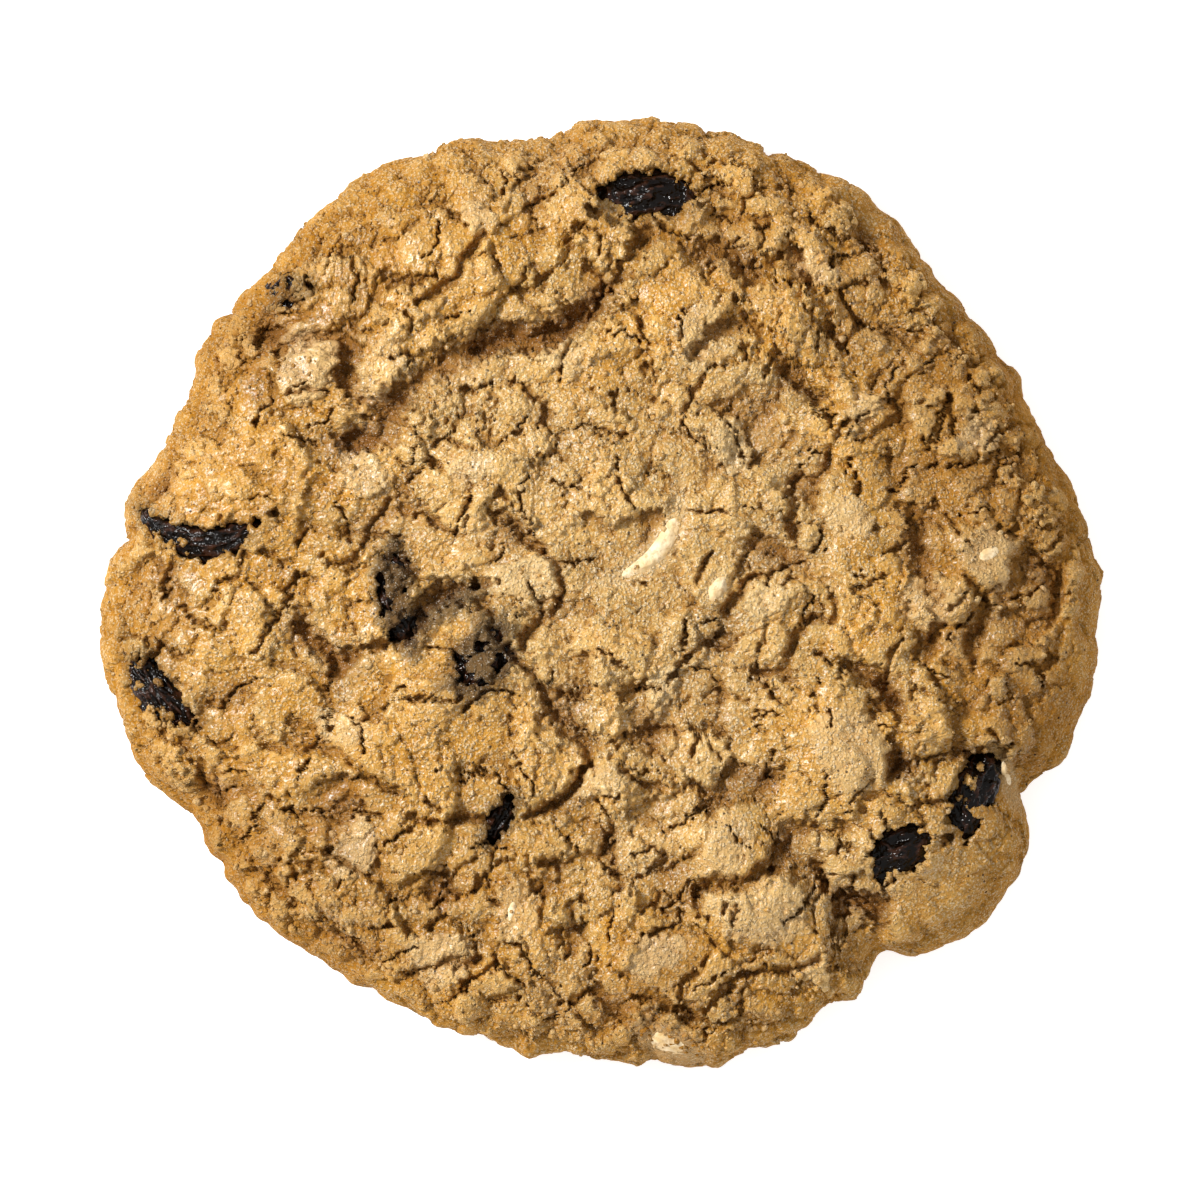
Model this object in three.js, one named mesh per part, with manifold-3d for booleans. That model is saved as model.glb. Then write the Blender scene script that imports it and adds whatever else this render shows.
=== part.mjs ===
// An oatmeal raisin cookie: one baked round of dough with a craggy crust, rolled oat flakes fused
// to the crust, and raisins set in sockets in it. Millimetres, +Z up. It stands on its flat
// underside at z = 0, and the Z axis passes through the middle of its outline.
import * as THREE from 'three';
import { mergeGeometries, mergeVertices } from 'three/addons/utils/BufferGeometryUtils.js';
import Module from 'manifold-3d';

const wasm = await Module();
wasm.setup();

const { degToRad, lerp, smoothstep } = THREE.MathUtils;

// The round
const crownHeight = 12.2; // crust over the table in the middle, before its crags
const shoulderDrop = 2.4; // how much lower the crust lies where the wall begins
const footHeight = 1.6; // height of the widest line of the wall
const footTuck = 1.2; // how far the underside draws in below that line
const wallTurn = 9; // larger is a flatter crust with a tighter turn into the wall
const wallFullness = 2.2; // larger is a steeper wall
const gridSteps = 52; // squares across the crust
const wallStart = 0.9; // share of the radius where the finer rings of the wall begin
const wallRings = 0.18; // share of the rings that the wall takes
const reliefFade = 0.92; // share of the radius where crags begin to die away towards the foot
const leanStart = 0.82; // share of the radius where crags begin to stand outward, not upward

// The rim seen from above: degrees from +X towards +Y, and the radius there
const rim = [
  [0, 45.1], [7, 44.6], [12, 43.4], [24, 42.0], [38, 41.4], [58, 43.0], [84, 42.8], [99, 41.4], [110, 42.8],
  [123, 43.2], [137, 41.7], [147, 42.1], [157, 40.8], [170, 43.2], [185, 45.2], [199, 44.2],
  [209, 41.6], [223, 42.2], [240, 41.0], [264, 41.6], [273, 41.9], [285, 43.5], [304, 42.6],
  [322, 45.5], [345, 44.8],
];
const rimRoughness = 0.35; // small unevenness of the rim
const rimRoughWaves = 26; // how many uneven spots there are round the rim
const rimSplits = [ // where the rim is torn inward: degrees, half width in degrees, depth
  { at: 308, halfWidth: 2.6, depth: 2.6 },
  { at: 335, halfWidth: 4.2, depth: 3.4 },
];

// Broad swellings of the crust: middle, radius and height
const mounds = [
  { at: [-3.6, 11.2], radius: 15.3, height: 1.2 },
  { at: [-15.3, -8.6], radius: 8.1, height: 1.5 },
  { at: [21.2, -15.4], radius: 5.9, height: 1.8 },
  { at: [32.4, -24.8], radius: 6.3, height: 0.8 },
  { at: [-14.4, 31.0], radius: 8.1, height: 1.2 },
  { at: [9.0, 26.5], radius: 6.3, height: 1.0 },
  { at: [-33.3, 11.2], radius: 7.2, height: 0.8 },
  { at: [10.6, -22.4], radius: 3.6, height: 1.2 },
  { at: [13.5, -28.0], radius: 4.3, height: 1.2 },
  { at: [23.4, -4.1], radius: 5.4, height: 0.8 },
  { at: [34.2, 3.1], radius: 4.5, height: 1.0 },
];

// Clods of crust with steep sides: middle, radius and height
const clods = [
  { at: [17.5, 32], radius: 3.4, height: 0.9 },
  { at: [23, 36], radius: 3.2, height: 0.7 },
  { at: [27, 26.5], radius: 3.4, height: 0.9 },
  { at: [16.7, 23.3], radius: 3.8, height: 0.8 },
  { at: [9.9, 15.2], radius: 3.0, height: 0.8 },
  { at: [24.3, 15.7], radius: 3.8, height: 0.9 },
  { at: [35.5, 18.8], radius: 3.4, height: 0.8 },
  { at: [1.8, -17.2], radius: 3.6, height: 1.0 },
  { at: [14.9, -0.1], radius: 3.8, height: 0.8 },
  { at: [1.8, -5.5], radius: 3.4, height: 0.8 },
  { at: [28.4, -10.9], radius: 3.4, height: 0.9 },
  { at: [-19.4, 22.9], radius: 3.2, height: 0.9 },
  { at: [-5.4, 28.3], radius: 5.4, height: 0.6 },
  { at: [-8.6, 13.4], radius: 4.4, height: 0.5 },
  { at: [30.6, -0.3], radius: 3.0, height: 0.8 },
  { at: [-22.5, -27.5], radius: 4.4, height: 0.7 },
  { at: [-6, -30], radius: 4.4, height: 0.6 },
  { at: [1.5, -28], radius: 4.2, height: 0.5 },
  { at: [-25, 8], radius: 4.0, height: 0.5 },
  { at: [-31, -3], radius: 4.2, height: 0.6 },
];
const clodTop = 0.35; // share of a clod's radius that its flat top takes
const clodFoot = 1.1; // share of its radius where its side has run out

// Broken plates of crust, spread like sunflower seeds
const plateCount = 210;
const plateField = 46; // radius that the plates cover
const plateJitter = 1.5; // how far a plate's middle strays from the even spread
const plateLift = 0.65; // most that a plate stands above or below the crust
const plateLean = 0.12; // steepest slope of a plate
const plateBlend = 0.5; // how softly one plate passes into the next
const seamDepth = 0.6; // furrow between two plates
const seamWidth = 0.9;
const warpReach = 1.4; // how far plates and clefts wander from their plain outlines
const warpSize = 4.5; // length of one wander
const goldenAngle = Math.PI * (3 - Math.sqrt(5));

// Open clefts in the crust: the course of each, its half width and its depth
const clefts = [
  { course: [[-23, 13.1], [-18.9, 16.1], [-14.6, 19.9], [-7, 22.4], [-0.4, 25.4]], reach: 2.7, depth: 2.4 },
  { course: [[-0.4, 25.4], [2.2, 28.4], [4.1, 31.9]], reach: 1.9, depth: 1.8 },
  { course: [[-29.3, 24.5], [-27.7, 21.5], [-23.9, 22.7], [-18.4, 16]], reach: 1.9, depth: 1.6 },
  { course: [[9, 30.5], [13, 29.3], [18.4, 29.9], [17.7, 27.9], [22.5, 20.9]], reach: 2.0, depth: 1.7 },
  { course: [[9.5, 22.4], [12.4, 25.4], [16.1, 19.7], [20.7, 16]], reach: 1.9, depth: 1.6 },
  { course: [[10.7, -4.1], [7.3, -5.7], [5.2, -8.6], [4.5, -11.7], [-1.9, -12.8]], reach: 1.9, depth: 1.7 },
  { course: [[23.7, -5.9], [26.9, -11.2], [26.4, -14.1]], reach: 2.0, depth: 2.0 },
  { course: [[26.4, -14.1], [23.7, -20.2], [15.4, -23.6]], reach: 1.9, depth: 1.4 },
  { course: [[27.8, 8.5], [27.8, 3.2], [30.8, -4.3]], reach: 1.8, depth: 1.4 },
  { course: [[41.1, 5.1], [40.2, -0.2], [39.5, -7]], reach: 1.8, depth: 1.3 },
  { course: [[-26.4, -3], [-23, -5.5], [-18.9, -4.1], [-14.2, -0.1], [-9.9, 0.4]], reach: 2.0, depth: 2.0 },
  { course: [[25.2, -35], [25.5, -28.6], [21.2, -28.4], [19.5, -25.9]], reach: 2.0, depth: 2.2 },
  { course: [[39, -18], [34.7, -14.7], [31.1, -13]], reach: 1.9, depth: 2.0 },
  { course: [[-36.7, -12.7], [-36.7, -17.6], [-30.4, -25.7], [-18.5, -35.6]], reach: 1.8, depth: 1.2 },
  { course: [[-0.1, -35.3], [1.1, -37.4], [9.5, -36.9], [12.2, -35.2]], reach: 1.8, depth: 1.3 },
];

// Raisins: middle, length, width, heading in degrees, and how far the two ends bend aside
const raisins = [
  { at: [4.0, 35.5], length: 11.2, width: 6.0, heading: 7, bend: -0.6 },
  { at: [-35.4, 4.6], length: 12.2, width: 4.8, heading: -3, bend: 2.3 },
  { at: [-39.5, -8.7], length: 9.8, width: 4.6, heading: -50, bend: 0.6 },
  { at: [-18.3, -0.3], length: 8.4, width: 4.4, heading: -80, bend: 0.5 },
  { at: [-10.4, -5.9], length: 8.0, width: 5.6, heading: 60, bend: 0.5 },
  { at: [-8.8, -19.8], length: 6.4, width: 4.2, heading: 60, bend: 0 },
  { at: [33.5, -17.4], length: 9.8, width: 5.6, heading: 62, bend: -0.4 },
  { at: [26.6, -22.8], length: 8.0, width: 5.6, heading: 35, bend: 0 },
  { at: [-27.6, 27.1], length: 6.4, width: 4.2, heading: 20, bend: 0 },
];
const raisinThickness = 4.4;
const raisinSink = 0.9; // how far a raisin's middle lies below the floor of its socket
const raisinSides = 14;
const raisinRings = 8;
const wrinkleCount = 5; // furrows along a raisin
const wrinkleDepth = 0.16; // share of the radius that a furrow takes
const wrinkleTwist = 1.4; // how far a furrow winds round from end to end, in radians
const socketDepth = 1.2; // dip of the crust round a raisin
const socketInner = 0.75; // the dip is full up to this share of the raisin's outline
const socketOuter = 1.35; // and has ended at this share
const pocketGap = 0.38; // clear space between a raisin and the dough

// Rolled oat flakes. The large ones: middle, length, width and heading in degrees
const largeFlakes = [
  { at: [3.6, 4.4], length: 9.9, width: 6.4, heading: 47 },
  { at: [22.5, -13.6], length: 9.6, width: 7.6, heading: -50 },
  { at: [13.5, -27.8], length: 8.0, width: 6.2, heading: 25 },
  { at: [10.6, -22.4], length: 7.0, width: 5.4, heading: 20 },
  { at: [-6.8, -28.4], length: 6.7, width: 4.8, heading: 85 },
  { at: [34.7, 3.7], length: 5.6, width: 4.4, heading: 30 },
  { at: [28.8, -0.5], length: 6.0, width: 4.6, heading: -60 },
  { at: [-19.0, 19.7], length: 6.0, width: 4.6, heading: 60 },
];
const smallFlakeCount = 38;
const smallFlakeField = 38.5; // radius that the small flakes cover
const smallFlakeLengths = [4.4, 7.2];
const smallFlakeWidths = [0.66, 0.86]; // share of the length
const smallFlakeTurn = 0.5; // start of their spread, in radians
const flakeThickness = 1.4;
const flakeTaper = 0.86; // a flake's face against its buried underside
const flakeSides = 9;
const flakeStand = 0.5; // how far a flake's face stands above the crust
const flakeLean = 0.07; // most that a flake slopes out of the crust along its length
const flakeRaisinGap = 1.2; // clear crust between a flake and a raisin

const doughMaterial = { color: '#b78a4e', roughness: 0.9, metalness: 0 };
const raisinMaterial = { color: '#221c1e', roughness: 0.4, metalness: 0 };

// A repeatable draw from 0 to 1 for each pair of whole numbers
function draw(first, second) {
  let mixed = (Math.imul(first, 374761393) + Math.imul(second, 668265263)) | 0;
  mixed = Math.imul(mixed ^ (mixed >>> 13), 1274126177);
  return ((mixed ^ (mixed >>> 16)) >>> 0) / 2 ** 32;
}

// The same, from -1 to 1
function swing(first, second) {
  return draw(first, second) * 2 - 1;
}

// A smooth uneven field from -1 to 1, different for each layer
function unevenness(x, y, layer) {
  const column = Math.floor(x);
  const row = Math.floor(y);
  const across = smoothstep(x - column, 0, 1);
  const up = smoothstep(y - row, 0, 1);
  const corner = (i, j) => swing(column + i + layer * 1000, row + j);
  const low = lerp(corner(0, 0), corner(1, 0), across);
  const high = lerp(corner(0, 1), corner(1, 1), across);
  return lerp(low, high, up);
}

// Radius of the outline in a direction, in radians
function rimRadius(direction) {
  const degrees = (THREE.MathUtils.radToDeg(direction) + 360) % 360;
  const after = rim.findIndex(([at]) => at > degrees);
  const [toDegrees, toRadius] = after < 0 ? [360, rim[0][1]] : rim[after];
  const [fromDegrees, fromRadius] = rim[(after < 0 ? rim.length : after) - 1];
  const share = smoothstep(degrees, fromDegrees, toDegrees);
  const rough = unevenness(rimRoughWaves * Math.cos(direction), rimRoughWaves * Math.sin(direction), 5);
  let radius = lerp(fromRadius, toRadius, share) + rimRoughness * rough;
  for (const split of rimSplits) {
    const off = (degrees - split.at) / split.halfWidth;
    radius -= split.depth * Math.exp(-off * off);
  }
  return radius;
}

// Height of the plain round at a share of the radius
function roundHeight(share) {
  const crown = crownHeight - shoulderDrop * share * share;
  const wall = Math.max(0, 1 - share ** wallTurn) ** (1 / wallFullness);
  return footHeight + (crown - footHeight) * wall;
}

const plates = Array.from({ length: plateCount }, (_, index) => {
  const radius = plateField * Math.sqrt((index + 0.5) / plateCount);
  const turn = index * goldenAngle;
  return {
    x: radius * Math.cos(turn) + plateJitter * swing(index, 1),
    y: radius * Math.sin(turn) + plateJitter * swing(index, 2),
    lift: plateLift * swing(index, 3),
    leanX: plateLean * swing(index, 4),
    leanY: plateLean * swing(index, 5),
  };
});

// Height of the plates over the plain round: the nearest two blend across their seam
function plateRelief(x, y) {
  let near = null;
  let next = null;
  for (const plate of plates) {
    const entry = { plate, away: Math.hypot(x - plate.x, y - plate.y) };
    if (!near || entry.away < near.away) {
      next = near;
      near = entry;
    } else if (!next || entry.away < next.away) {
      next = entry;
    }
  }
  const height = ({ plate }) => plate.lift + plate.leanX * (x - plate.x) + plate.leanY * (y - plate.y);
  const border = (next.away - near.away) / 2;
  const share = 0.5 * Math.exp(-border / plateBlend);
  return lerp(height(near), height(next), share) - seamDepth * Math.exp(-((border / seamWidth) ** 2));
}

// Distance from a point to an open course of straight runs
function distanceToCourse(x, y, course) {
  let least = Infinity;
  for (let run = 1; run < course.length; run += 1) {
    const [fromX, fromY] = course[run - 1];
    const [toX, toY] = course[run];
    const alongX = toX - fromX;
    const alongY = toY - fromY;
    const share = ((x - fromX) * alongX + (y - fromY) * alongY) / (alongX ** 2 + alongY ** 2);
    const held = THREE.MathUtils.clamp(share, 0, 1);
    least = Math.min(least, Math.hypot(x - fromX - held * alongX, y - fromY - held * alongY));
  }
  return least;
}

function cleftRelief(x, y) {
  let deepest = 0;
  for (const { course, reach, depth } of clefts) {
    const share = distanceToCourse(x, y, course) / reach;
    deepest = Math.max(deepest, depth * Math.max(0, 1 - share * share) ** 1.5);
  }
  return -deepest;
}

function moundRelief(x, y) {
  let height = 0;
  for (const { at, radius, height: top } of mounds) {
    height += top * Math.exp(-(((x - at[0]) ** 2 + (y - at[1]) ** 2) / radius ** 2));
  }
  return height;
}

function clodRelief(x, y) {
  let highest = 0;
  for (const { at, radius, height } of clods) {
    const share = Math.hypot(x - at[0], y - at[1]) / radius;
    highest = Math.max(highest, height * (1 - smoothstep(share, clodTop, clodFoot)));
  }
  return highest;
}

// Where a point lies against a raisin's outline: 0 in its middle, 1 on the outline
function raisinShare(x, y, { at, length, width, heading, bend }) {
  const turn = degToRad(heading);
  const along = ((x - at[0]) * Math.cos(turn) + (y - at[1]) * Math.sin(turn)) / (length / 2);
  const aside = (y - at[1]) * Math.cos(turn) - (x - at[0]) * Math.sin(turn) - bend * along * along;
  return Math.hypot(along, aside / (width / 2));
}

function socketRelief(x, y) {
  let deepest = 0;
  for (const raisin of raisins) {
    const share = raisinShare(x, y, raisin);
    deepest = Math.max(deepest, socketDepth * (1 - smoothstep(share, socketInner, socketOuter)));
  }
  return -deepest;
}

function relief(x, y) {
  const wanderX = x + warpReach * unevenness(x / warpSize, y / warpSize, 1);
  const wanderY = y + warpReach * unevenness(x / warpSize, y / warpSize, 2);
  const crags = plateRelief(wanderX, wanderY) + clodRelief(wanderX, wanderY);
  return moundRelief(x, y) + crags + cleftRelief(wanderX, wanderY) + socketRelief(x, y);
}

// Share of the way from the middle of the cookie to its rim
function rimShare(x, y) {
  return Math.min(1, Math.hypot(x, y) / rimRadius(Math.atan2(y, x)));
}

// The point of the crust over (x, y): the plain round, and its relief standing out from it
function crustPoint(x, y) {
  const share = rimShare(x, y);
  const lean = smoothstep(share, leanStart, 1);
  const outward = new THREE.Vector3(x, y, 0).normalize().multiplyScalar(lean);
  const direction = outward.setZ(1 - lean).normalize();
  const height = relief(x, y) * (1 - smoothstep(share, reliefFade, 1));
  return new THREE.Vector3(x, y, roundHeight(share)).addScaledVector(direction, height);
}

// How a piece lies on the plain round at (x, y): sunk along the slope's normal, turned to a heading
function layOnCrust([x, y], heading, sink) {
  const step = 0.5;
  const height = (px, py) => roundHeight(rimShare(px, py));
  const slopeX = (height(x + step, y) - height(x - step, y)) / (2 * step);
  const slopeY = (height(x, y + step) - height(x, y - step)) / (2 * step);
  const normal = new THREE.Vector3(-slopeX, -slopeY, 1).normalize();
  const up = new THREE.Vector3(0, 0, 1);
  const turned = new THREE.Quaternion().setFromAxisAngle(up, heading);
  return {
    position: crustPoint(x, y).addScaledVector(normal, -sink),
    quaternion: new THREE.Quaternion().setFromUnitVectors(up, normal).multiply(turned),
  };
}

// Only positions, with shared corners merged, so that a closed shape is one closed surface
function weld(shape) {
  shape.deleteAttribute('normal');
  shape.deleteAttribute('uv');
  return mergeVertices(shape, 1e-4);
}

function toSolid(shape) {
  const welded = weld(shape);
  const vertProperties = new Float32Array(welded.getAttribute('position').array);
  const triVerts = new Uint32Array(welded.index.array);
  return new wasm.Manifold(new wasm.Mesh({ numProp: 3, vertProperties, triVerts }));
}

function toShape(solid) {
  const { vertProperties, triVerts } = solid.getMesh();
  const shape = new THREE.BufferGeometry();
  shape.setAttribute('position', new THREE.BufferAttribute(vertProperties, 3));
  shape.setIndex(new THREE.BufferAttribute(triVerts, 1));
  shape.computeVertexNormals();
  return shape;
}

// Moves every point of a shape to where a function puts it
function reshape(shape, place) {
  const points = shape.getAttribute('position');
  for (let index = 0; index < points.count; index += 1) {
    const { x, y, z } = place(new THREE.Vector3().fromBufferAttribute(points, index));
    points.setXYZ(index, x, y, z);
  }
  return shape;
}

// The crust: a square grid drawn into a disc, so that its rings of squares follow the rim
function crustShape() {
  const half = gridSteps / 2;
  const shape = new THREE.PlaneGeometry(gridSteps, gridSteps, gridSteps, gridSteps);
  return reshape(shape, ({ x, y }) => {
    const column = Math.round(x);
    const row = Math.round(y);
    const ring = Math.max(Math.abs(column), Math.abs(row)) / half;
    if (ring === 0) {
      return crustPoint(0, 0);
    }
    const wide = Math.abs(column) >= Math.abs(row);
    const eighth = (Math.PI / 4) * (wide ? row / column : column / row);
    const side = (wide ? column : row) < 0 ? Math.PI : 0;
    const direction = (wide ? eighth : Math.PI / 2 - eighth) + side;
    const past = (ring - (1 - wallRings)) / wallRings;
    const wallShare = wallStart + (1 - wallStart) * Math.sin((past * Math.PI) / 2);
    const share = past < 0 ? (wallStart * ring) / (1 - wallRings) : wallShare;
    const radius = share * rimRadius(direction);
    return crustPoint(radius * Math.cos(direction), radius * Math.sin(direction));
  });
}

// The flat underside, and the band that draws in to it from the widest line of the wall
function undersideShape() {
  const around = 4 * gridSteps;
  const turn = (2 * Math.PI) / around;
  const band = new THREE.RingGeometry(1, 2, around, 1);
  const floor = new THREE.CircleGeometry(1, around);
  const place = (point) => {
    const spread = point.length();
    const direction = Math.round(Math.atan2(point.y, point.x) / turn) * turn;
    const radius = rimRadius(direction);
    if (spread > 1.5) {
      return crustPoint(radius * Math.cos(direction), radius * Math.sin(direction));
    }
    const held = spread < 0.5 ? 0 : radius - footTuck;
    return new THREE.Vector3(held * Math.cos(direction), held * Math.sin(direction), 0);
  };
  const faces = [band, floor].map((shape) => shape.rotateX(Math.PI));
  return faces.map((shape) => reshape(shape, place));
}

// A raisin lying along X: a lengthwise wrinkled and bent ellipsoid, made larger by grow all round
function raisinShape({ length, width, bend }, order, grow) {
  const shape = new THREE.SphereGeometry(1, raisinSides, raisinRings).rotateZ(Math.PI / 2);
  return weld(reshape(shape, ({ x, y, z }) => {
    const around = Math.atan2(z, y) * wrinkleCount + x * wrinkleTwist * wrinkleCount + order;
    const wrinkle = 1 - wrinkleDepth * (0.5 + 0.5 * Math.cos(around));
    const aside = y * (width / 2 + grow) * wrinkle + bend * x * x;
    const up = z * (raisinThickness / 2 + grow) * wrinkle;
    return new THREE.Vector3(x * (length / 2 + grow), aside, up);
  }));
}

// A flake pressed into the crust: a low drum with few sides that follows the round and its mounds
function flakeShape({ at, length, width, heading, tip = 0 }) {
  const shape = new THREE.CylinderGeometry(flakeTaper, 1, flakeThickness, flakeSides).rotateX(Math.PI / 2);
  const plainHeight = (x, y) => roundHeight(rimShare(x, y)) + moundRelief(x, y);
  const seat = crustPoint(...at).z - plainHeight(...at) + flakeStand - flakeThickness / 2;
  return reshape(shape, ({ x, y, z }) => {
    const along = (x * length) / 2;
    const aside = (y * width) / 2;
    const placedX = at[0] + along * Math.cos(heading) - aside * Math.sin(heading);
    const placedY = at[1] + along * Math.sin(heading) + aside * Math.cos(heading);
    return new THREE.Vector3(placedX, placedY, plainHeight(placedX, placedY) + seat + z + tip * along);
  });
}

// The small flakes, spread evenly over the crust and left out where a raisin is
function smallFlakes() {
  const flakes = Array.from({ length: smallFlakeCount }, (_, index) => {
    const radius = smallFlakeField * Math.sqrt((index + 0.5) / smallFlakeCount);
    const turn = smallFlakeTurn + index * goldenAngle;
    const length = lerp(...smallFlakeLengths, draw(index, 11));
    return {
      at: [radius * Math.cos(turn), radius * Math.sin(turn)],
      length,
      width: length * lerp(...smallFlakeWidths, draw(index, 12)),
      heading: Math.PI * draw(index, 13),
      tip: flakeLean * swing(index, 14),
    };
  });
  const clear = ({ at, length }) => raisins.every((raisin) => {
    const away = Math.hypot(at[0] - raisin.at[0], at[1] - raisin.at[1]);
    return away > (length + raisin.length) / 2 + flakeRaisinGap;
  });
  return flakes.filter(clear);
}

const raisinPlaces = raisins.map(({ at, heading }) => layOnCrust(at, degToRad(heading), raisinSink));

function doughShape() {
  const faces = [crustShape(), ...undersideShape()].map((shape) => shape.toNonIndexed());
  let dough = toSolid(mergeGeometries(faces));
  const large = largeFlakes.map((flake) => ({ ...flake, heading: degToRad(flake.heading) }));
  for (const flake of [...large, ...smallFlakes()]) {
    dough = dough.add(toSolid(flakeShape(flake)));
  }
  raisins.forEach((raisin, order) => {
    const { position, quaternion } = raisinPlaces[order];
    const matrix = new THREE.Matrix4().compose(position, quaternion, new THREE.Vector3(1, 1, 1));
    dough = dough.subtract(toSolid(raisinShape(raisin, order, pocketGap).applyMatrix4(matrix)));
  });
  const bodies = dough.decompose();
  return toShape(bodies.reduce((best, body) => (body.volume() > best.volume() ? body : best)));
}

const cookie = new THREE.Group();

const dough = new THREE.Mesh(doughShape(), new THREE.MeshStandardMaterial(doughMaterial));
dough.name = 'dough';
cookie.add(dough);

raisins.forEach((raisin, order) => {
  const shape = raisinShape(raisin, order, 0);
  shape.computeVertexNormals();
  const mesh = new THREE.Mesh(shape, new THREE.MeshStandardMaterial(raisinMaterial));
  mesh.name = `raisin_${order + 1}`;
  mesh.position.copy(raisinPlaces[order].position);
  mesh.quaternion.copy(raisinPlaces[order].quaternion);
  cookie.add(mesh);
});

export default cookie;
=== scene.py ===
import math

import bmesh
import bpy
import numpy as np
from mathutils import Color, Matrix, Quaternion, Vector, noise


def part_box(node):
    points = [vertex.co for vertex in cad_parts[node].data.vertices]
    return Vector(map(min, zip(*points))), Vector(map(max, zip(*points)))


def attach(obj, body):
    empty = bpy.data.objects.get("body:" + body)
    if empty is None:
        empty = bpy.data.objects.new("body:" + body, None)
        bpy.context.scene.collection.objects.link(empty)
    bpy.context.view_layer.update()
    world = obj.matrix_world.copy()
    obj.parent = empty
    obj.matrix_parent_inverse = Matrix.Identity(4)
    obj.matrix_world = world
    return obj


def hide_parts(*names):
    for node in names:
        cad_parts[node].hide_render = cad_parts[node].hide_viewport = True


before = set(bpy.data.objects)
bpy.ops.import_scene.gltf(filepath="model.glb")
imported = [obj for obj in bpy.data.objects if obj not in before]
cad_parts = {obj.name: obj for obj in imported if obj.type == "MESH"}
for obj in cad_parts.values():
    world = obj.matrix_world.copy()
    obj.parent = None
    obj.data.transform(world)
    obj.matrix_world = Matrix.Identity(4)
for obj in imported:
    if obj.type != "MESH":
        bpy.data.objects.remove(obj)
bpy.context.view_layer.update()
mm = 0.001  # sizes below are in millimetres, meshes in metres
print("frame loaded:", len(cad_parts), "solids")


# numbers and noise

stirFactors = np.array([374761393, 668265263, 1274126177], np.uint32)  # of a common hash
stirShifts = np.array([13, 16], np.uint32)
layerGaps = {"field": 1000, "noise": 31.7, "cells": 17.3}  # how far apart two layers of noise are taken
cellKeys = {"fineness": 1000, "stride": 7919}  # turn the middle of a cell into whole numbers
layers = {
    "rim": 5, "warp": (1, 2), "granule": 5, "clumps": 6, "chunks": 3, "gape": 8, "open": 9, "cleft": 12,
    "crack": (14, 15, 16), "rolling": 100, "broad": 41, "patch": 43, "rough": 44,
    "raisinEdge": 20, "raisinCrumbs": 60, "flakeFace": 7, "dent": 23,
}  # each use of noise has its own layer


def draw(first, second):  # the same each time, from 0 to 1; the second tells uses apart
    words = [np.asarray(value, np.int64).astype(np.uint32) for value in (first, second)]
    with np.errstate(over="ignore"):
        stirred = words[0] * stirFactors[0] + words[1] * stirFactors[1]
        stirred = (stirred ^ (stirred >> stirShifts[0])) * stirFactors[2]
    return (stirred ^ (stirred >> stirShifts[1])) / 2**32


def swing(first, second):  # the same, from -1 to 1
    return draw(first, second) * 2 - 1


def smoothStep(value, low, high):
    share = np.clip((value - low) / (high - low), 0, 1)
    return share * share * (3 - 2 * share)


def fading(value, low, high):
    return 1 - smoothStep(value, low, high)


def mixed(low, high, share):
    return low * (1 - share) + high * share


def spot(x, y, at, span):  # 1 at a place, fading out round it
    return np.exp(-((x - at[0]) ** 2 + (y - at[1]) ** 2) / span**2)


def unevenness(x, y, layer):  # smooth field from -1 to 1
    column, row = np.floor(x), np.floor(y)
    across, up = smoothStep(x - column, 0, 1), smoothStep(y - row, 0, 1)

    def corner(i, j):
        return swing(column + i + layer * layerGaps["field"], row + j)

    low = mixed(corner(0, 0), corner(1, 0), across)
    return mixed(low, mixed(corner(0, 1), corner(1, 1), across), up)


def noiseField(points, size, layer):  # rounded lumps of about this size, in mm
    return np.array([noise.noise(p) for p in (points / size + layer * layerGaps["noise"]).tolist()])


def cellsNear(points, size, layer):  # gaps to the two nearest middles, a draw for each, the nearest
    shift = layer * layerGaps["cells"]
    found = [noise.voronoi(p) for p in (points / size + shift).tolist()]
    gaps = np.array([gap[:2] for gap, _ in found]) * size
    middles = np.array([[tuple(m) for m in near[:2]] for _, near in found])
    keys = np.floor(middles * cellKeys["fineness"])
    draws = draw(keys[..., 0] + cellKeys["stride"] * keys[..., 1], keys[..., 2] + layer)
    return gaps, draws, (middles[:, 0] - shift) * size


# form of the cookie: what its solids have, and finer cracks

rimShape = {
    "points": [
        (0, 45.1), (7, 44.6), (12, 43.4), (24, 42.0), (38, 41.4), (58, 43.0), (84, 42.8), (99, 41.4),
        (110, 42.8), (123, 43.2), (137, 41.7), (147, 42.1), (157, 40.8), (170, 43.2), (185, 45.2),
        (199, 44.2), (209, 41.6), (223, 42.2), (240, 41.0), (264, 41.6), (273, 41.9), (285, 43.5),
        (304, 42.6), (322, 45.5), (345, 44.8), (360, 45.1),
    ],  # degrees from +X, radius
    "roughness": 0.35,
    "roughWaves": 26,
    "splits": [(308, 2.6, 2.6), (335, 4.2, 3.4)],  # degrees, half width in degrees, depth
    "inner": 38,  # least radius
    "line": 0.999,  # share of the radius past which the rim lies
}
roundShape = {
    "crown": 12.2, "shoulderDrop": 2.4, "foot": 1.6, "footRoll": (0.45, 0.3), "tuck": 1.2,
    "wallTurn": 9, "wallFullness": 2.2,
    "steps": 300, "wallStart": 0.9, "wallRings": 0.2,
    "reliefFade": 0.92, "leanStart": 0.9,
}
mounds = [
    ((-3.6, 11.2), 15.3, 1.2), ((-15.3, -8.6), 8.1, 1.5), ((21.2, -15.4), 5.9, 1.8),
    ((32.4, -24.8), 6.3, 0.8), ((-14.4, 31.0), 8.1, 1.2), ((9.0, 26.5), 6.3, 1.0),
    ((-33.3, 11.2), 7.2, 0.8), ((10.6, -22.4), 3.6, 1.2), ((13.5, -28.0), 4.3, 1.2),
    ((23.4, -4.1), 5.4, 0.8), ((34.2, 3.1), 4.5, 1.0),
]  # middle, radius, height
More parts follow.
